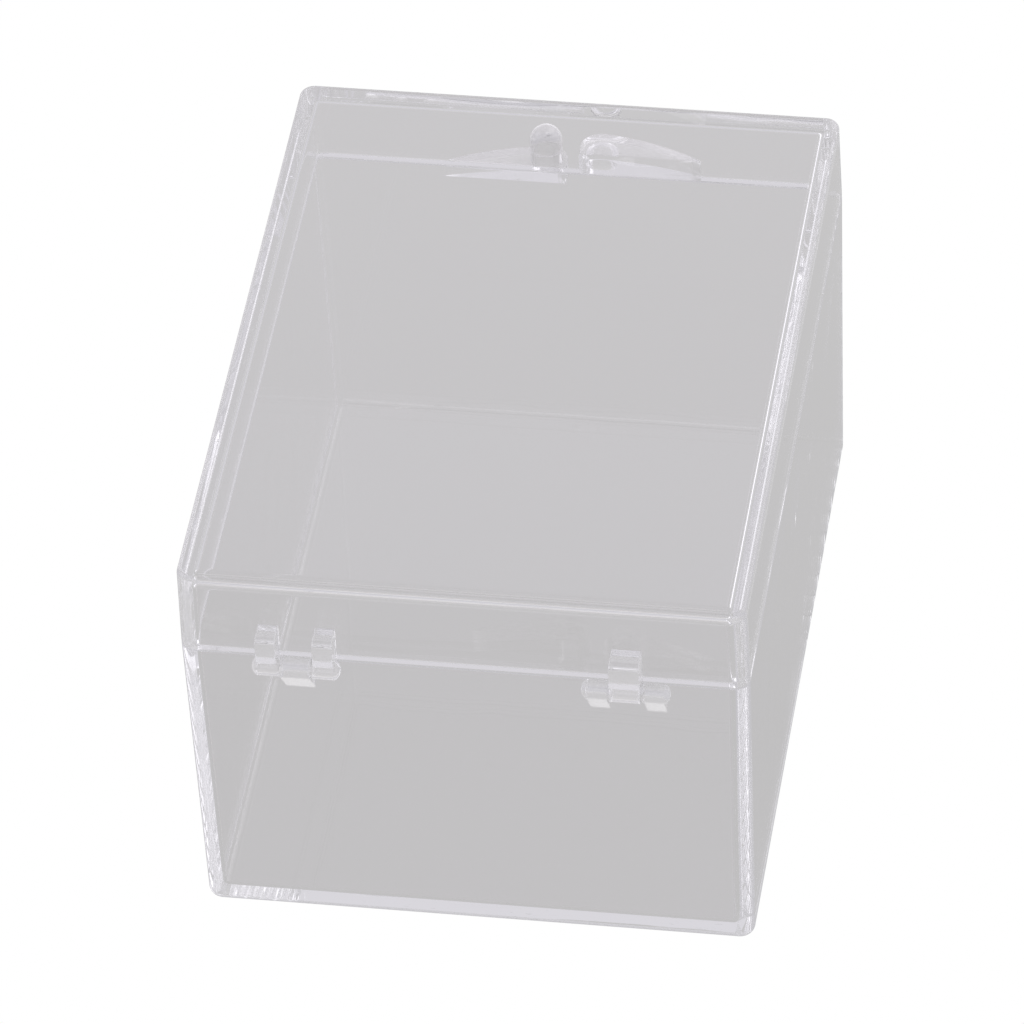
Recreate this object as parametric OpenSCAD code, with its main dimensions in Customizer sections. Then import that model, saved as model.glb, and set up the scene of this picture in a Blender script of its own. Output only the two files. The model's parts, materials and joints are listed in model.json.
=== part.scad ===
// Small clear box for guitar picks: a deep base and a shallow hinged lid.
// Each half is one moulding, with its hinge parts and its half of the thumb
// tab moulded on. Width runs along X, depth along Y and height along Z. The
// hinge wall faces -Y, and the origin is in the middle of the base's underside.

/* [Box] */
// Outside width along the hinge wall, at the parting line
box_w = 45; // [42:0.5:60]
// Outside depth from the hinge wall to the latch wall, at the parting line
box_d = 60.5; // [50:0.5:80]
// Height of the closed box
box_h = 35.7; // [28:0.1:50]
// Height of the lid
lid_h = 7.7; // [6:0.1:12]
// Thickness of the walls, the floor and the lid's plate
wall = 1.2; // [1.1:0.1:1.5]
// Gap between the two halves at the parting line
parting_gap = 0.08; // [0.05:0.01:0.12]

/* [Edges and draft] */
// Radius of the upright corners outside
corner_r = 1.2; // [1:0.1:2]
// Radius of the upright corners inside
inner_corner_r = 0.5; // [0.4:0.1:1]
// Radius of the outer edge round the floor
floor_edge_r = 0.8; // [0.4:0.1:0.9]
// Radius of the outer edge round the lid's plate
lid_edge_r = 0.4; // [0.3:0.1:0.9]
// Radius of the inner edge round the floor and the lid's plate
inner_edge_r = 0.6; // [0.3:0.05:0.8]
// Inward lean of the base's walls towards its floor, in degrees
base_draft = 0.75; // [0.2:0.05:1]
// Inward lean of the lid's walls towards its plate, in degrees
lid_draft = 0.7; // [0.5:0.1:1.5]

/* [Hinges] */
// Distance of each hinge from the middle of the hinge wall
hinge_offset = 13; // [10:0.1:14]
// Distance of the pivot axis from the hinge wall
pivot_standoff = 1.05; // [1.05:0.05:1.2]
// Depth of the pivot axis below the parting line
pivot_drop = 0.05; // [0:0.01:0.1]
// Distance between the middles of the two lugs of a hinge
lug_spacing = 4.5; // [4.44:0.02:4.6]
// Width of each lug
lug_w = 1.6; // [1.5:0.05:1.65]
// Radius of the barrel at a lug's round end
lug_r = 0.8; // [0.7:0.05:0.85]
// Height of the dome on each side of a lug's round end
dome_h = 0.45; // [0.4:0.05:0.5]
// Width of the knuckle between the lugs
knuckle_w = 2.4; // [2.3:0.05:2.5]
// Radius of the knuckle's round end
knuckle_r = 0.9; // [0.85:0.05:0.9]
// Step between a barrel's surface and the lug that carries it
lug_step = 0.03; // [0.02:0.01:0.05]
// Clearance between a dome and the dimple that it turns in
dimple_clearance = 0.06; // [0.03:0.01:0.08]
// Height of the lid's hinge arms above the parting line, at the wall
arm_h = 3.4; // [3:0.1:4]
// Fall of the arms' top face from the wall to the front
arm_fall = 0.25; // [0.1:0.05:0.5]
// Depth of the gussets' heel below the parting line, inside the base's wall
gusset_h = 3.9; // [3.2:0.05:5]

/* [Thumb tab and latch] */
// Distance that the thumb tab stands out from the latch wall
tab_depth = 2.9; // [2.6:0.05:4]
// Radius of the thumb tab's outer arc
tab_r = 22; // [18:0.5:26]
// Distance from the middle of the wall to the outer end of each half tab
tab_reach = 11; // [8:0.1:11.2]
// Distance from the middle of the wall to the inner end of each half tab
tab_gap = 0.55; // [0.4:0.05:0.9]
// Radius of each half tab's inner corner
tab_corner_r = 1.7; // [1.6:0.05:1.8]
// Thickness of each half tab
tab_t = 1.6; // [1.2:0.1:2]
// Distance of each latch post from the middle of the wall
post_offset = 2.34; // [2.3:0.02:2.4]
// Radius of each latch post
post_r = 1.33; // [1.2:0.01:1.35]
// Distance of a post's axis from the latch wall
post_standoff = 1.27; // [1.2:0.01:1.3]
// Gap between a post's flat side and the opposite wall
post_gap = 0.1; // [0.08:0.01:0.15]
// Height of the base's post above the parting line
base_post_h = 3.3; // [2:0.05:3.5]
// Depth of the lid's post below the parting line
lid_post_h = 1.4; // [1.35:0.05:2.5]

/* [Hidden] */

$fn = 64;
corner_steps = 8;
edge_steps = 5;
rim_z = box_h - lid_h;
lid_rim_z = rim_z + parting_gap;
pivot_z = rim_z - pivot_drop;
embed = wall / 2;
dome_r = (lug_r * lug_r + dome_h * dome_h) / (2 * dome_h);
dome_steps = 6;
tab_steps = 24;
cut_margin = 1;
clear_plastic = [0.88, 0.88, 0.92, 0.35];

// Corner points of a rounded rectangle at height z, anticlockwise from above.
function ring(w, d, r, z) = [
    for (corner = [0:3])
        let (side_x = corner == 0 || corner == 3 ? 1 : -1)
        let (side_y = corner < 2 ? 1 : -1)
        for (step = [0:corner_steps])
            let (a = 90 * (corner + step / corner_steps))
            [side_x * (w / 2 - r) + r * cos(a), side_y * (d / 2 - r) + r * sin(a), z]
];

// A block that stands on a closed end with rounded edges and widens with
// the draft to w by d at its open end.
module drafted_block(w, d, h, r, edge_r, draft) {
    edge_angles = [for (step = [0:edge_steps]) 90 * step / edge_steps];
    edge_levels = [for (a = edge_angles) [edge_r * (1 - cos(a)), edge_r * (1 - sin(a))]];
    levels = concat(edge_levels, [[h, 0]]);
    rings = [
        for (level = levels)
            let (inset = level[1] + (h - level[0]) * tan(draft))
            ring(w - 2 * inset, d - 2 * inset, max(r - level[1], r / 4), level[0])
    ];
    n = len(rings[0]);
    top = len(rings) - 1;
    points = [for (level = rings) each level];
    sides = [
        for (level = [0:top - 1], i = [0:n - 1])
            let (next = (i + 1) % n)
            [level * n + i, (level + 1) * n + i, (level + 1) * n + next, level * n + next]
    ];
    closed_end = [for (i = [0:n - 1]) i];
    open_end = [for (i = [n - 1:-1:0]) top * n + i];
    polyhedron(points, concat([closed_end, open_end], sides), convexity = 4);
}

// An open drafted shell that stands on its closed end.
module shell(h, edge_r, draft) {
    difference() {
        drafted_block(box_w, box_d, h, corner_r, edge_r, draft);
        translate([0, 0, wall])
            drafted_block(
                box_w - 2 * wall + 2 * cut_margin * tan(draft),
                box_d - 2 * wall + 2 * cut_margin * tan(draft),
                h - wall + cut_margin, inner_corner_r, inner_edge_r, draft
            );
    }
}

// Places a part at a hinge, with the pivot axis through its origin.
module at_hinge(side) {
    translate([side * hinge_offset, -box_d / 2 - pivot_standoff, pivot_z]) children();
}

// Extrudes a profile drawn in Y and Z along X, centred.
module across(width) {
    rotate([90, 0, 90]) linear_extrude(width, center = true) children();
}

// Side view of a lid arm: a block on the lid's wall above the parting line
// that reaches down to a round end on the pivot axis.
module arm_profile(r) {
    foot = pivot_drop + parting_gap;
    circle(r);
    translate([-r, 0]) square([2 * r, foot]);
    polygon([
        [-r, foot],
        [pivot_standoff + embed, foot],
        [pivot_standoff + embed, pivot_drop + arm_h],
        [-r, pivot_drop + arm_h - arm_fall]
    ]);
}

// Side view of a base gusset: a round end on the pivot axis, with a straight
// underside that runs from the round down to the base's wall.
module gusset_profile(r) {
    heel = [pivot_standoff + embed, pivot_drop - gusset_h];
    a = atan2(heel[1], heel[0]) - acos(r / norm(heel));
    circle(r);
    polygon([[0, 0], [r * cos(a), r * sin(a)], heel, [heel[0], 0]]);
}

// The round end of a lug: a short barrel along X with a domed cap on each
// side. Its shoulders stand just proud of the lug's sides.
module barrel() {
    shoulder_x = lug_w / 2 + lug_step;
    cap = [
        for (step = [0:dome_steps])
            let (a = asin(lug_r / dome_r) * step / dome_steps)
            [dome_r * sin(a), shoulder_x + dome_h - dome_r * (1 - cos(a))]
    ];
    opposite_cap = [for (i = [dome_steps:-1:0]) [cap[i][0], -cap[i][1]]];
    rotate([0, 90, 0]) rotate_extrude() polygon(concat(cap, opposite_cap));
}

// A pair of lugs with barrels at their round ends. The child is the lugs'
// side view.
module lugs() {
    for (side = [-1, 1]) translate([side * lug_spacing / 2, 0, 0]) {
        across(lug_w) children();
        barrel();
    }
}

// A knuckle with a dimple in each side for the lugs' inner domes. The
// spheres' poles lie on the pivot axis. The child is the knuckle's side view.
module knuckle() {
    dome_tip_x = (lug_spacing - lug_w) / 2 - lug_step - dome_h;
    difference() {
        across(knuckle_w) children();
        for (side = [-1, 1]) translate([side * (dome_tip_x + dome_r), 0, 0])
            rotate([0, 90, 0]) sphere(dome_r + dimple_clearance);
    }
}

// Points on an arc, from one angle to another.
function arc_points(centre, r, start, end, steps) = [
    for (step = [0:steps])
        let (a = start + (end - start) * step / steps)
        centre + r * [cos(a), sin(a)]
];

// Plan of the half tab on the +X side of the wall's middle. Y = 0 is the
// wall's outer face.
module half_tab_plan() {
    arc_centre = [0, tab_depth - tab_r];
    corner_x = tab_gap + tab_corner_r;
    corner_y = arc_centre[1] + sqrt(pow(tab_r - tab_corner_r, 2) - corner_x * corner_x);
    meeting_angle = atan2(corner_y - arc_centre[1], corner_x);
    polygon(concat(
        [[tab_gap, -embed], [tab_reach, -embed]],
        arc_points(arc_centre, tab_r, acos(tab_reach / tab_r), meeting_angle - 1, tab_steps),
        arc_points([corner_x, corner_y], tab_corner_r, meeting_angle, 180, corner_steps)
    ));
}

// A latch post that rises from z = 0 to a round top, with a flat side
// towards the wall.
module latch_post(h) {
    translate([post_offset, 0, 0]) intersection() {
        translate([0, post_standoff, 0]) {
            cylinder(h = h - post_r, r = post_r);
            translate([0, 0, h - post_r]) sphere(post_r);
        }
        translate([-post_r, post_gap, 0]) cube([2 * post_r, 2 * post_r, h]);
    }
}

// The base's half of the thumb tab, just below the parting line.
module base_tab() {
    translate([0, box_d / 2, rim_z]) mirror([1, 0, 0]) {
        translate([0, 0, -tab_t]) linear_extrude(tab_t) half_tab_plan();
        latch_post(base_post_h);
    }
}

// The lid's half of the thumb tab, just above the parting line. Its post
// points down.
module lid_tab() {
    translate([0, box_d / 2, lid_rim_z]) {
        linear_extrude(tab_t) half_tab_plan();
        mirror([0, 0, 1]) latch_post(lid_post_h);
    }
}

module base() {
    color(clear_plastic) {
        shell(rim_z, floor_edge_r, base_draft);
        at_hinge(-1) knuckle() gusset_profile(knuckle_r);
        at_hinge(1) lugs() gusset_profile(lug_r - lug_step);
        base_tab();
    }
}

module lid() {
    color(clear_plastic) {
        translate([0, 0, box_h]) mirror([0, 0, 1])
            shell(box_h - lid_rim_z, lid_edge_r, lid_draft);
        at_hinge(-1) lugs() arm_profile(lug_r - lug_step);
        at_hinge(1) knuckle() arm_profile(knuckle_r);
        lid_tab();
    }
}

base();
lid();
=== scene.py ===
"""A small clear box for guitar picks: a deep base and a shallow hinged lid.

Both halves are rebuilt here as finer mouldings than the frame's plain ones, at the same
sizes and places, with rounded rims, rounded hinge parts and a rounded thumb tab. Shapes
are drawn in millimetres and scaled to metres at the end.
"""

import json
import math

import bmesh
import bpy
from mathutils import Matrix, Quaternion, Vector


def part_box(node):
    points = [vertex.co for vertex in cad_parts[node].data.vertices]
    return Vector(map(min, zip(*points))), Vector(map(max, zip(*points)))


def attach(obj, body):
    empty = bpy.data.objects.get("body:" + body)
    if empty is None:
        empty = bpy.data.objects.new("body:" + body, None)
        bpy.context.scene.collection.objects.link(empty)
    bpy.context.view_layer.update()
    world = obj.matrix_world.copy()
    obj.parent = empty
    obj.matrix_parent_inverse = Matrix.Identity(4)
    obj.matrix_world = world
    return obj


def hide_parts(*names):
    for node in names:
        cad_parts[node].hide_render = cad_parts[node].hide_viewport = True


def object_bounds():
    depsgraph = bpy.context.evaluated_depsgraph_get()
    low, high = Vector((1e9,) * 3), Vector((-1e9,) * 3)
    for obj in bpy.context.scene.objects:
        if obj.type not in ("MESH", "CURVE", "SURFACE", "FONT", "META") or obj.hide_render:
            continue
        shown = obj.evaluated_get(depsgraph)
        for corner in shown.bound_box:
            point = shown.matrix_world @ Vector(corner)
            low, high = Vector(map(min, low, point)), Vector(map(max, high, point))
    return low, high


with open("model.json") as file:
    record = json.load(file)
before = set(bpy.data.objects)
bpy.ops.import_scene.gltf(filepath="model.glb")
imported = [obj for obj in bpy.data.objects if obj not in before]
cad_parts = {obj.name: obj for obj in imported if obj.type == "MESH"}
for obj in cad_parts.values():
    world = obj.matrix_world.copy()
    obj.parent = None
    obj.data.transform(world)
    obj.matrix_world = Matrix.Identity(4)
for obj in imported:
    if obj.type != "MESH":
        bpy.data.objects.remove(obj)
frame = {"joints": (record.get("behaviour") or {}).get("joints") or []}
CAD_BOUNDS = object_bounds()

MM = 0.001

# The hinge axis from the hinge wall and below the base's rim, and the gap between the rims
PIVOT_STANDOFF = 1.05
PIVOT_DROP = 0.05
PARTING_GAP = 0.08

# Sizes taken from the frame, in millimetres
PIVOT = Vector(frame["joints"][0]["pos_m"]) / MM
BASE_LOW, BASE_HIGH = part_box("base")
LID_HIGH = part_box("lid")[1]
BOX_W = (BASE_HIGH.x - BASE_LOW.x) / MM
BOX_H = LID_HIGH.z / MM
HINGE_Y = PIVOT.y + PIVOT_STANDOFF
LATCH_Y = -HINGE_Y
BOX_D = LATCH_Y - HINGE_Y
RIM_Z = PIVOT.z + PIVOT_DROP
LID_RIM_Z = RIM_Z + PARTING_GAP

# Walls
WALL = 1.2
BASE_LEAN = math.tan(math.radians(0.75))
LID_LEAN = math.tan(math.radians(0.7))
CORNER_R = 1.2
INNER_CORNER_R = 0.5
FLOOR_EDGE_R = 0.8
LID_EDGE_R = 0.4
INNER_EDGE_R = 0.6
RIM_R = 0.12
# Smallest part of its corner radius that a ring keeps round an edge
CORNER_SHARE = 0.25

# Hinges
HINGE_OFFSET = 13.0
LUG_SPACING = 4.5
LUG_W = 1.6
LUG_R = 0.8
LUG_STEP = 0.03
DOME_H = 0.45
DOME_R = (LUG_R * LUG_R + DOME_H * DOME_H) / (2 * DOME_H)
DIMPLE_CLEARANCE = 0.06
KNUCKLE_W = 2.4
KNUCKLE_R = 0.9
ARM_H = 3.4
ARM_FALL = 0.25
ARM_NOSE_R = 0.3
GUSSET_H = 3.9
EMBED = WALL / 2
HINGE_BEVEL = 0.12
# Parts stop this far from the rims' planes, so that no two faces lie in one plane
RIM_STEP = 0.02

# Thumb tab and latch
TAB_DEPTH = 2.9
TAB_R = 22.0
TAB_REACH = 11.0
TAB_GAP = 0.55
TAB_CORNER_R = 1.7
TAB_T = 1.6
TAB_BEVEL = 0.15
POST_OFFSET = 2.34
POST_R = 1.33
POST_STANDOFF = 1.27
POST_GAP = 0.1
POST_ROOT = -0.3
BASE_POST_H = 3.3
LID_POST_H = 1.4

# Smoothness. Each number of steps is for one arc of its kind.
CORNER_STEPS = 14
EDGE_STEPS = 8
RIM_STEPS = 4
ROUND_STEPS = 48
NOSE_STEPS = 5
CAP_STEPS = 8
BALL_STEPS = 30
TAB_STEPS = 24
TAB_CORNER_STEPS = 12
POST_TOP_STEPS = 12
BEVEL_STEPS = 3
ROUND_PROFILE = 0.5
SHARP_ANGLE = math.radians(32)
MERGE_DISTANCE = 0.001
LARGEST_FACE_WINS = 100

# Camera, round the middle of the box: angles in degrees, lens and sensor in millimetres
CAMERA_AZIMUTH = 10.75
CAMERA_ELEVATION = 42.3
CAMERA_ROLL = -3.285
CAMERA_DISTANCE = 730 * MM
CAMERA_LENS = 316.4
CAMERA_SENSOR = 36
CAMERA_CLIP = (0.01, 10)
CAMERA_AIM_OFFSET = Vector((-0.95, -1.34, 0.09)) * MM

# Floor, just below the box, so that no two faces lie in one plane
FLOOR_SIZE = 6
FLOOR_DROP = 0.3 * MM

# Light. Floor and room are white where the camera sees them directly, and grey where
# the plastic refracts or reflects them. What lights matt surfaces is lifted.
WHITE = 1.0
LILAC = (1.0, 0.985, 1.04)
FLOOR_GREY = (1.0, 0.99, 0.995)
MATT_LIFT = 0.8
# The floor's brightness grows with the distance from its darkest place: distance, brightness
FLOOR_DARKEST = (0, -0.05, 0)
FLOOR_NEAR = (0.05, 0.525)
FLOOR_FAR = (0.45, 0.8)
# The room's brightness by height: sine of the elevation, brightness
SKY_STOPS = ((0.0, 0.5), (0.3, 0.6), (0.68, 0.7), (0.9, 0.75))
# Patches of the room: azimuth, elevation, inner and outer radius in degrees, added brightness
SOFTBOXES = (
    (-75, 36, 18, 30, 0.85),
    (135, 36, 14, 24, 0.7),
    (0, 8, 8, 20, 0.8),
)
DARK_CAMERA = (0, 62, 8, 16, -0.7)
TRAPPED_GLOW = 0.28
MAX_BOUNCES = 48

# Plastic. Cells per metre set how fine each pattern is.
PLASTIC_IOR = 1.59
PALE_TINT = (1.0, 0.998, 1.0, 1)
DEEP_TINT = (0.998, 0.993, 0.999, 1)
TINT_CELLS = (70, 70, 70)
WAVE_CELLS = (120, 120, 120)
WAVE_DEPTH = 0.01 * MM
PATCH_CELLS = (90, 60, 90)
PATCH_EDGE = (0.55, 0.7)
STREAK_CELLS = (900, 2600, 900)
STREAK_EDGE = (0.7, 0.76)
SCUFF_ROUGHNESS = 0.2
# The milky look, and the painted highlight along the outlines of the parts that stand out, start at
# the outside of the walls and are full a little way out
CLOUD_AND_SHEEN_START = 0.2
CLOUD_AND_SHEEN_LATCH_Y = (LATCH_Y * MM, (LATCH_Y + CLOUD_AND_SHEEN_START) * MM)
CLOUD_AND_SHEEN_HINGE_Y = (HINGE_Y * MM, (HINGE_Y - CLOUD_AND_SHEEN_START) * MM)
CLOUD_AND_SHEEN_HINGE_SHARE = 0.5
# Painted highlight: as the facing goes from the first to the second value, the milky amount goes
# from the first to the second amount, so the outlines turn lit matt white
PAINTED_SHEEN_FACING = (0.5, 0.95)
CLOUD_AND_SHEEN_AMOUNT = (0.25, 1.0)


def arc(centre, radius, start, end, steps):
    """Points on an arc in a plane, from one angle to another in degrees."""
    points = []
    for step in range(steps + 1):
        a = math.radians(start + (end - start) * step / steps)
        points.append((centre[0] + radius * math.cos(a), centre[1] + radius * math.sin(a)))
    return points


def ring(inset, z, radius):
    """A rounded rectangle at height z, anticlockwise from above."""
    half_w = BOX_W / 2 - inset - radius
    half_d = BOX_D / 2 - inset - radius
    points = []
    for corner in range(4):
        side_x = 1 if corner in (0, 3) else -1
        side_y = 1 if corner < 2 else -1
        centre = (side_x * half_w, side_y * half_d)
        for x, y in arc(centre, radius, 90 * corner, 90 * corner + 90, CORNER_STEPS):
            points.append((x, y, z))
    return points


def quarter_turn(steps):
    """Angles from 0 to 90 degrees, in radians."""
    return [math.radians(90) * step / steps for step in range(steps + 1)]


def shell_rings(height, edge_r, lean):
    """Rings up the outside of an open shell, over its rim and down the inside."""
    rings = []
    for a in quarter_turn(EDGE_STEPS):
        shift = edge_r * (1 - math.sin(a))
        z = edge_r * (1 - math.cos(a))
        radius = max(CORNER_R - shift, CORNER_R * CORNER_SHARE)
        rings.append(ring(shift + (height - z) * lean, z, radius))
    for a in quarter_turn(RIM_STEPS):
        shift = RIM_R * (1 - math.cos(a))
        rings.append(ring(shift, height - RIM_R * (1 - math.sin(a)), CORNER_R - shift))
    for a in quarter_turn(RIM_STEPS):
        shift = RIM_R * (1 - math.sin(a))
        rings.append(ring(WALL - shift, height - RIM_R * (1 - math.cos(a)), INNER_CORNER_R + shift))
    for a in quarter_turn(EDGE_STEPS):
        shift = INNER_EDGE_R * (1 - math.cos(a))
        z = WALL + INNER_EDGE_R * (1 - math.sin(a))
        radius = max(INNER_CORNER_R - shift, INNER_CORNER_R * CORNER_SHARE)
        rings.append(ring(WALL + shift + (height - z) * lean, z, radius))
    return rings


def new_piece(name, bm):
    """An object made from a bmesh, which is used up."""
    mesh = bpy.data.meshes.new(name)
    bmesh.ops.recalc_face_normals(bm, faces=bm.faces)
    bm.to_mesh(mesh)
    bm.free()
    thing = bpy.data.objects.new(name, mesh)
    bpy.context.scene.collection.objects.link(thing)
    return thing


def lofted(name, rings):
    """A closed solid through rings with the same number of points."""
    bm = bmesh.new()
    loops = [[bm.verts.new(p) for p in points] for points in rings]
    count = len(loops[0])
    for lower, upper in zip(loops, loops[1:]):
        for i in range(count):
            j = (i + 1) % count
            bm.faces.new((lower[i], lower[j], upper[j], upper[i]))
    bm.faces.new(list(reversed(loops[0])))
    bm.faces.new(loops[-1])
    return new_piece(name, bm)


def shell(name, height, edge_r, lean):
    """An open shell that stands on its closed end and widens towards its rim."""
    return lofted(name, shell_rings(height, edge_r, lean))


def bevelled_slab(name, outline, low, high, bevel, axes):
    """An outline extruded from low to high, with its two rims bevelled."""
    bm = bmesh.new()
    bottom = [bm.verts.new(axes(p[0], p[1], low)) for p in outline]
    top = [bm.verts.new(axes(p[0], p[1], high)) for p in outline]
    count = len(outline)
    for i in range(count):
        j = (i + 1) % count
        bm.faces.new((bottom[i], bottom[j], top[j], top[i]))
    caps = [bm.faces.new(list(reversed(bottom))), bm.faces.new(top)]
    rims = list({edge for cap in caps for edge in cap.edges})
    bmesh.ops.bevel(
        bm, geom=rims, offset=bevel, segments=BEVEL_STEPS, profile=ROUND_PROFILE, affect="EDGES",
    )
    return new_piece(name, bm)


def across(y, z, x):
    """Places an outline drawn in Y and Z, extruded along X."""
    return (x, y, z)


def upright(x, y, z):
    """Places an outline drawn in X and Y, extruded along Z."""
    return (x, y, z)


def hinge_slab(name, outline, width):
    """A hinge part's side view, extruded along X and centred."""
    return bevelled_slab(name, outline, -width / 2, width / 2, HINGE_BEVEL, across)


def turned(name, profile, axis):
    """A solid turned from (radius, height) points, closed on its axis at both ends."""
    bm = bmesh.new()
    first = bm.verts.new((0, 0, profile[0][1]))
    last = bm.verts.new((0, 0, profile[-1][1]))
    loops = []
    for radius, height in profile[1:-1]:
        loop = []
        for x, y in arc((0, 0), radius, 0, 360, ROUND_STEPS)[:-1]:
            loop.append(bm.verts.new((x, y, height)))
        loops.append(loop)
    for i in range(ROUND_STEPS):
        j = (i + 1) % ROUND_STEPS
        bm.faces.new((first, loops[0][j], loops[0][i]))
        bm.faces.new((last, loops[-1][i], loops[-1][j]))
        for lower, upper in zip(loops, loops[1:]):
            bm.faces.new((lower[i], lower[j], upper[j], upper[i]))
    if axis == "X":
        bmesh.ops.rotate(bm, verts=bm.verts, matrix=Matrix.Rotation(math.radians(90), 3, "Y"))
    return new_piece(name, bm)


def ball(name, radius):
    """A ball with its poles on the X axis."""
    return turned(name, arc((0, 0), radius, -90, 90, BALL_STEPS), "X")


def moved(thing, offset):
    thing.data.transform(Matrix.Translation(offset))
    return thing


def combined(target, others, operation="UNION"):
    """Joins solids to the target, or cuts them from it, and uses them up."""
    for other in others:
        step = target.modifiers.new("step", "BOOLEAN")
        step.operation = operation
        step.solver = "MANIFOLD"
        step.object = other
    depsgraph = bpy.context.evaluated_depsgraph_get()
    mesh = bpy.data.meshes.new_from_object(target.evaluated_get(depsgraph))
    target.modifiers.clear()
    target.data = mesh
    for other in others:
        bpy.data.objects.remove(other)
    return target


def arm_outline(r):
    """Side view of a lid arm: a block on the lid's wall that reaches down to the pivot."""
    foot = PIVOT_DROP + PARTING_GAP + RIM_STEP
    wall_y = PIVOT_STANDOFF + EMBED
    nose = (ARM_NOSE_R - r, PIVOT_DROP + ARM_H - ARM_FALL - ARM_NOSE_R)
    outline = arc((0, 0), r, 180, 360, ROUND_STEPS // 2)
    outline += [(r, foot), (wall_y, foot), (wall_y, PIVOT_DROP + ARM_H)]
    outline += arc(nose, ARM_NOSE_R, 90, 180, NOSE_STEPS)
    return outline


def gusset_outline(r):
    """Side view of a base gusset: a round end with a straight underside to the wall."""
    heel = (PIVOT_STANDOFF + EMBED, PIVOT_DROP - GUSSET_H)
    tangent = math.atan2(heel[1], heel[0]) - math.acos(r / math.hypot(*heel))
    top_z = PIVOT_DROP - RIM_STEP
    start = math.degrees(math.asin(top_z / r))
    outline = arc((0, 0), r, start, 360 + math.degrees(tangent), ROUND_STEPS // 2)
    outline += [heel, (heel[0], top_z)]
    return outline


def barrel(name):
    """A lug's round end: a short barrel along X with a domed cap on each side."""
    shoulder = LUG_W / 2 + LUG_STEP
    cap = []
    for step in range(CAP_STEPS + 1):
        a = math.asin(LUG_R / DOME_R) * step / CAP_STEPS
        cap.append((DOME_R * math.sin(a), shoulder + DOME_H - DOME_R * (1 - math.cos(a))))
    profile = [(radius, -height) for radius, height in cap] + list(reversed(cap))
    return turned(name, profile, "X")


def lugs(outline):
    """A pair of lugs with barrels at their round ends, pivot axis through the origin."""
    parts = []
    for side in (-1, 1):
        offset = Vector((side * LUG_SPACING / 2, 0, 0))
        parts.append(moved(hinge_slab("lug", outline, LUG_W), offset))
        parts.append(moved(barrel("barrel"), offset))
    return parts


def knuckle(outline):
    """A knuckle with a dimple in each side for the lugs' inner domes."""
    dome_tip = (LUG_SPACING - LUG_W) / 2 - LUG_STEP - DOME_H
    block = hinge_slab("knuckle", outline, KNUCKLE_W)
    dimples = []
    for side in (-1, 1):
        offset = Vector((side * (dome_tip + DOME_R), 0, 0))
        dimples.append(moved(ball("dimple", DOME_R + DIMPLE_CLEARANCE), offset))
    return [combined(block, dimples, "DIFFERENCE")]


def at_hinge(side, parts):
    """Moves parts to a hinge: -1 is the left one and 1 the right one."""
    for part in parts:
        moved(part, Vector((side * HINGE_OFFSET, PIVOT.y, PIVOT.z)))
    return parts


def half_tab_outline():
    """Plan of the half tab on the +X side. Y = 0 is the wall's outer face."""
    arc_y = TAB_DEPTH - TAB_R
    corner_x = TAB_GAP + TAB_CORNER_R
    corner_y = arc_y + math.sqrt((TAB_R - TAB_CORNER_R) ** 2 - corner_x ** 2)
    start = math.degrees(math.acos(TAB_REACH / TAB_R))
    end = math.degrees(math.atan2(corner_y - arc_y, corner_x))
    outline = [(TAB_GAP, -EMBED), (TAB_REACH, -EMBED)]
    outline += arc((0, arc_y), TAB_R, start, end, TAB_STEPS)
    outline += arc((corner_x, corner_y), TAB_CORNER_R, end, 180, TAB_CORNER_STEPS)[1:]
    return outline


def half_tab(name):
    """A half tab that stands on z = 0."""
    return bevelled_slab(name, half_tab_outline(), 0, TAB_T, TAB_BEVEL, upright)


def latch_post(name, height):
    """A post that rises from z = 0 to a round top, with a flat side towards the wall."""
    profile = [(0, POST_ROOT), (POST_R, POST_ROOT)]
    profile += arc((0, height - POST_R), POST_R, 0, 90, POST_TOP_STEPS)
    post = moved(turned(name, profile, "Z"), Vector((POST_OFFSET, POST_STANDOFF, 0)))
    bm = bmesh.new()
    bm.from_mesh(post.data)
    cut = bmesh.ops.bisect_plane(
        bm, geom=bm.verts[:] + bm.edges[:] + bm.faces[:],
        plane_co=(0, POST_GAP, 0), plane_no=(0, -1, 0), clear_outer=True,
    )
    edges = [item for item in cut["geom_cut"] if isinstance(item, bmesh.types.BMEdge)]
    bmesh.ops.contextual_create(bm, geom=edges)
    bm.to_mesh(post.data)
    bm.free()
    return post


def mirrored(thing, axis):
    """Mirrors a mesh through the origin along X, Y or Z."""
    scale = [-1 if axis == name else 1 for name in "XYZ"]
    thing.data.transform(Matrix.Diagonal((*scale, 1)))
    thing.data.flip_normals()
    return thing


def base_tab():
    """The base's half of the thumb tab, just below its rim, with its post up."""
    tab = moved(half_tab("base_tab"), Vector((0, 0, -TAB_T - RIM_STEP)))
    parts = [tab, latch_post("base_post", BASE_POST_H)]
    return [moved(mirrored(part, "X"), Vector((0, LATCH_Y, RIM_Z))) for part in parts]


def lid_tab():
    """The lid's half of the thumb tab, just above its rim, with its post down."""
    tab = moved(half_tab("lid_tab"), Vector((0, 0, RIM_STEP)))
    parts = [tab, mirrored(latch_post("lid_post", LID_POST_H), "Z")]
    return [moved(part, Vector((0, LATCH_Y, LID_RIM_Z))) for part in parts]


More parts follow.
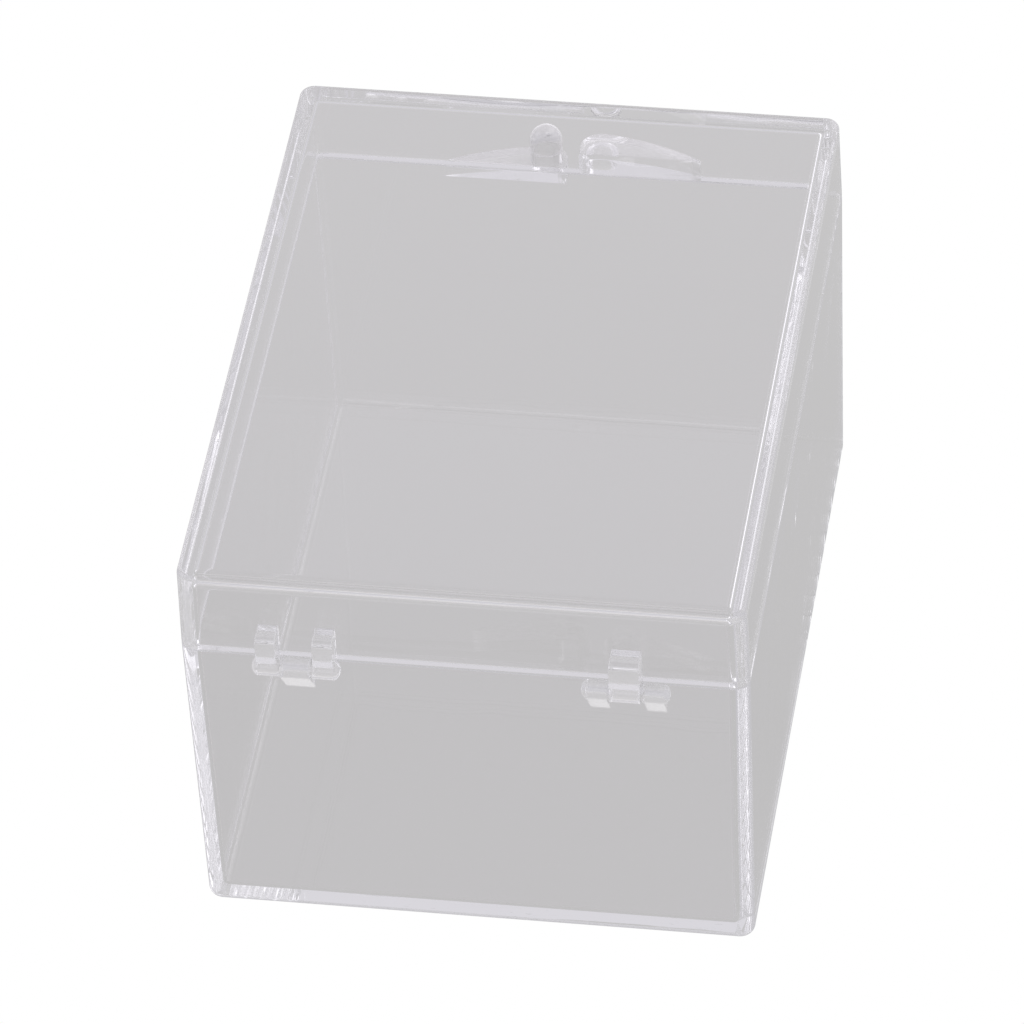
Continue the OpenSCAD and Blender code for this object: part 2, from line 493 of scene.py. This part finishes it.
def moulding(shell_piece, parts, material, body):
    """Joins the parts to their shell, shades the result and puts it on its body."""
    piece = combined(shell_piece, parts)
    bm = bmesh.new()
    bm.from_mesh(piece.data)
    bmesh.ops.remove_doubles(bm, verts=bm.verts, dist=MERGE_DISTANCE)
    bmesh.ops.dissolve_degenerate(bm, edges=bm.edges, dist=MERGE_DISTANCE)
    for face in bm.faces:
        face.smooth = True
    for edge in bm.edges:
        edge.smooth = edge.calc_face_angle(0) < SHARP_ANGLE
    bm.to_mesh(piece.data)
    bm.free()
    piece.data.transform(Matrix.Scale(MM, 4))
    piece.data.materials.clear()
    piece.data.materials.append(material)
    weighted = piece.modifiers.new("flat_walls", "WEIGHTED_NORMAL")
    weighted.keep_sharp = True
    weighted.weight = LARGEST_FACE_WINS
    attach(piece, body)
    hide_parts(body)


def add_base(material):
    walls = shell("base_moulding", RIM_Z, FLOOR_EDGE_R, BASE_LEAN)
    left = at_hinge(-1, knuckle(gusset_outline(KNUCKLE_R)))
    right = at_hinge(1, lugs(gusset_outline(LUG_R - LUG_STEP)))
    moulding(walls, left + right + base_tab(), material, "base")


def add_lid(material):
    walls = mirrored(shell("lid_moulding", BOX_H - LID_RIM_Z, LID_EDGE_R, LID_LEAN), "Z")
    moved(walls, Vector((0, 0, BOX_H)))
    left = at_hinge(-1, lugs(arm_outline(LUG_R - LUG_STEP)))
    right = at_hinge(1, knuckle(arm_outline(KNUCKLE_R)))
    moulding(walls, left + right + lid_tab(), material, "lid")


def direction(azimuth, elevation):
    """Unit vector from the box. Azimuth 0 is the hinge side, and angles are in degrees."""
    a = math.radians(azimuth)
    e = math.radians(elevation)
    return Vector((math.sin(a) * math.cos(e), -math.cos(a) * math.cos(e), math.sin(e)))


def add_camera(centre):
    data = bpy.data.cameras.new("camera")
    data.lens = CAMERA_LENS
    data.sensor_width = CAMERA_SENSOR
    data.clip_start, data.clip_end = CAMERA_CLIP
    camera = bpy.data.objects.new("camera", data)
    bpy.context.scene.collection.objects.link(camera)
    back = direction(CAMERA_AZIMUTH, CAMERA_ELEVATION)
    camera.location = centre + CAMERA_AIM_OFFSET + back * CAMERA_DISTANCE
    camera.rotation_mode = "QUATERNION"
    level = (-back).to_track_quat("-Z", "Y")
    camera.rotation_quaternion = level @ Quaternion((0, 0, 1), math.radians(CAMERA_ROLL))
    bpy.context.scene.camera = camera


def floor_brightness(tree):
    """The floor gets brighter away from a point in front of the box."""
    where = tree.nodes.new("ShaderNodeNewGeometry").outputs["Position"]
    distance = tree.nodes.new("ShaderNodeVectorMath")
    distance.operation = "DISTANCE"
    distance.inputs[1].default_value = FLOOR_DARKEST
    tree.links.new(where, distance.inputs[0])
    return remapped(tree, distance.outputs["Value"], *zip(FLOOR_NEAR, FLOOR_FAR))


def lifted(tree, brightness):
    """The brightness, raised where it lights matt surfaces."""
    path = tree.nodes.new("ShaderNodeLightPath")
    lift = calculated(tree, "MULTIPLY", path.outputs["Is Diffuse Ray"], MATT_LIFT)
    return calculated(tree, "ADD", brightness(tree), lift)


def stage_material():
    """The floor: white to the camera, grey through the plastic."""
    material = bpy.data.materials.new("stage")
    material.use_nodes = True
    nodes = material.node_tree.nodes
    links = material.node_tree.links
    nodes.clear()
    out = nodes.new("ShaderNodeOutputMaterial")
    mix = nodes.new("ShaderNodeMixShader")
    path = nodes.new("ShaderNodeLightPath")
    seen = nodes.new("ShaderNodeEmission")
    through = nodes.new("ShaderNodeEmission")
    seen.inputs["Strength"].default_value = WHITE
    through.inputs["Color"].default_value = (*FLOOR_GREY, 1)
    links.new(lifted(material.node_tree, floor_brightness), through.inputs["Strength"])
    links.new(path.outputs["Is Camera Ray"], mix.inputs["Fac"])
    links.new(through.outputs[0], mix.inputs[1])
    links.new(seen.outputs[0], mix.inputs[2])
    links.new(mix.outputs[0], out.inputs["Surface"])
    return material


def add_floor(z):
    bpy.ops.mesh.primitive_plane_add(size=FLOOR_SIZE, location=(0, 0, z - FLOOR_DROP))
    floor = bpy.context.object
    floor.name = "floor"
    floor.data.materials.append(stage_material())


def lit_patch(tree, where, azimuth, elevation, inner, outer, brightness):
    """Added brightness round one direction of the room, with a soft edge."""
    facing = tree.nodes.new("ShaderNodeVectorMath")
    facing.operation = "DOT_PRODUCT"
    facing.inputs[1].default_value = direction(azimuth, elevation)
    tree.links.new(where, facing.inputs[0])
    edge = (math.cos(math.radians(outer)), math.cos(math.radians(inner)))
    return remapped(tree, facing.outputs["Value"], edge, (0, brightness))


def room_brightness(tree):
    """Brightness of the room by direction: a ramp by height, with the patches added."""
    where = tree.nodes.new("ShaderNodeTexCoord").outputs["Generated"]
    split = tree.nodes.new("ShaderNodeSeparateXYZ")
    ramp = tree.nodes.new("ShaderNodeValToRGB")
    tree.links.new(where, split.inputs[0])
    tree.links.new(split.outputs["Z"], ramp.inputs[0])
    for stop in SKY_STOPS[1:-1]:
        ramp.color_ramp.elements.new(stop[0])
    for element, (position, value) in zip(ramp.color_ramp.elements, SKY_STOPS):
        element.position = position
        element.color = (value, value, value, 1)
    total = ramp.outputs[0]
    for patch in (*SOFTBOXES, DARK_CAMERA):
        total = calculated(tree, "ADD", total, lit_patch(tree, where, *patch))
    return total


def add_world():
    """The room: white to the camera, grey with soft lights through the plastic."""
    world = bpy.data.worlds.new("studio")
    bpy.context.scene.world = world
    world.use_nodes = True
    tree = world.node_tree
    tree.nodes.clear()
    out = tree.nodes.new("ShaderNodeOutputWorld")
    mix = tree.nodes.new("ShaderNodeMixShader")
    path = tree.nodes.new("ShaderNodeLightPath")
    seen = tree.nodes.new("ShaderNodeBackground")
    room = tree.nodes.new("ShaderNodeBackground")
    seen.inputs["Strength"].default_value = WHITE
    room.inputs["Color"].default_value = (*LILAC, 1)
    tree.links.new(lifted(tree, room_brightness), room.inputs["Strength"])
    tree.links.new(path.outputs["Is Camera Ray"], mix.inputs["Fac"])
    tree.links.new(room.outputs[0], mix.inputs[1])
    tree.links.new(seen.outputs[0], mix.inputs[2])
    tree.links.new(mix.outputs[0], out.inputs["Surface"])


def noise(tree, where, scale, detail):
    """Noise over the piece. The scale is in cells per metre along each axis."""
    mapping = tree.nodes.new("ShaderNodeMapping")
    mapping.inputs["Scale"].default_value = scale
    texture = tree.nodes.new("ShaderNodeTexNoise")
    texture.inputs["Scale"].default_value = 1
    texture.inputs["Detail"].default_value = detail
    tree.links.new(where, mapping.inputs["Vector"])
    tree.links.new(mapping.outputs[0], texture.inputs["Vector"])
    return texture.outputs["Fac"]


def remapped(tree, value, source, target):
    """The value with the source range stretched to the target range, clamped."""
    node = tree.nodes.new("ShaderNodeMapRange")
    ranges = (*source, *target)
    for name, limit in zip(("From Min", "From Max", "To Min", "To Max"), ranges):
        node.inputs[name].default_value = limit
    tree.links.new(value, node.inputs["Value"])
    return node.outputs[0]


def calculated(tree, operation, first, second):
    """The result of a Math node. Each input is a socket or a number."""
    node = tree.nodes.new("ShaderNodeMath")
    node.operation = operation
    for socket, value in zip(node.inputs, (first, second)):
        if isinstance(value, bpy.types.NodeSocket):
            tree.links.new(value, socket)
        else:
            socket.default_value = value
    return node.outputs[0]


def wavy(tree, where):
    """The slight waves of a moulded surface, as a tilted normal."""
    node = tree.nodes.new("ShaderNodeBump")
    node.inputs["Distance"].default_value = WAVE_DEPTH
    tree.links.new(noise(tree, where, WAVE_CELLS, detail=1), node.inputs["Height"])
    return node.outputs[0]


def cloud_and_painted_sheen(tree, where):
    """The thick parts that stand out from the walls look milky, most at their outlines, where the
    lit matt white is a painted highlight.
    """
    split = tree.nodes.new("ShaderNodeSeparateXYZ")
    tree.links.new(where, split.inputs[0])
    latch = remapped(tree, split.outputs["Y"], CLOUD_AND_SHEEN_LATCH_Y, (0, 1))
    hinge = remapped(tree, split.outputs["Y"], CLOUD_AND_SHEEN_HINGE_Y, (0, CLOUD_AND_SHEEN_HINGE_SHARE))
    standing_out = calculated(tree, "ADD", latch, hinge)
    # Painted highlight: less transmission towards a grazing view whitens the outlines
    facing = tree.nodes.new("ShaderNodeLayerWeight").outputs["Facing"]
    outline = remapped(tree, facing, PAINTED_SHEEN_FACING, CLOUD_AND_SHEEN_AMOUNT)
    from_inside = tree.nodes.new("ShaderNodeNewGeometry").outputs["Backfacing"]
    from_outside = calculated(tree, "SUBTRACT", 1.0, from_inside)
    cloud_and_sheen = calculated(tree, "MULTIPLY", standing_out, outline)
    return calculated(tree, "MULTIPLY", cloud_and_sheen, from_outside)


def scuffs(tree, where):
    """Faint patches of fine, short scuffs, from 0 to 1."""
    patches = remapped(tree, noise(tree, where, PATCH_CELLS, detail=2), PATCH_EDGE, (0, 1))
    streaks = remapped(tree, noise(tree, where, STREAK_CELLS, detail=1), STREAK_EDGE, (0, 1))
    return calculated(tree, "MULTIPLY", patches, streaks)


def trapped_light(tree):
    """Glow that stands for the light in paths cut off at the last bounce.

    Ray Depth is a whole number, so the threshold lies between the last two depths.
    """
    path = tree.nodes.new("ShaderNodeLightPath")
    last = calculated(tree, "GREATER_THAN", path.outputs["Ray Depth"], MAX_BOUNCES - 0.5)
    return calculated(tree, "MULTIPLY", last, TRAPPED_GLOW)


def tinted(tree, where):
    """Water-clear plastic with a slightly uneven lilac tint."""
    mix = tree.nodes.new("ShaderNodeMix")
    mix.data_type = "RGBA"
    mix.inputs["A"].default_value = PALE_TINT
    mix.inputs["B"].default_value = DEEP_TINT
    tree.links.new(noise(tree, where, TINT_CELLS, detail=1), mix.inputs["Factor"])
    return mix.outputs["Result"]


def clear_plastic():
    """Polished clear polystyrene, the same for both mouldings."""
    material = bpy.data.materials.new("clear_polystyrene")
    material.use_nodes = True
    tree = material.node_tree
    shader = tree.nodes["Principled BSDF"]
    where = tree.nodes.new("ShaderNodeTexCoord").outputs["Object"]
    shader.inputs["IOR"].default_value = PLASTIC_IOR
    shader.inputs["Emission Color"].default_value = (*LILAC, 1)
    sockets = {
        "Base Color": tinted(tree, where),
        "Roughness": calculated(tree, "MULTIPLY", scuffs(tree, where), SCUFF_ROUGHNESS),
        # Milky look on the parts that stand out, with a painted highlight on their outlines
        "Transmission Weight": calculated(tree, "SUBTRACT", 1.0, cloud_and_painted_sheen(tree, where)),
        "Normal": wavy(tree, where),
        "Emission Strength": trapped_light(tree),
    }
    for name, socket in sockets.items():
        tree.links.new(socket, shader.inputs[name])
    return material


def main():
    low, high = CAD_BOUNDS
    centre = (low + high) / 2
    plastic = clear_plastic()
    add_base(plastic)
    add_lid(plastic)
    add_floor(low.z)
    add_world()
    add_camera(centre)
    scene = bpy.context.scene
    scene.view_settings.view_transform = "Standard"
    scene.cycles.max_bounces = MAX_BOUNCES
    scene.cycles.glossy_bounces = MAX_BOUNCES
    scene.cycles.transmission_bounces = MAX_BOUNCES


main()
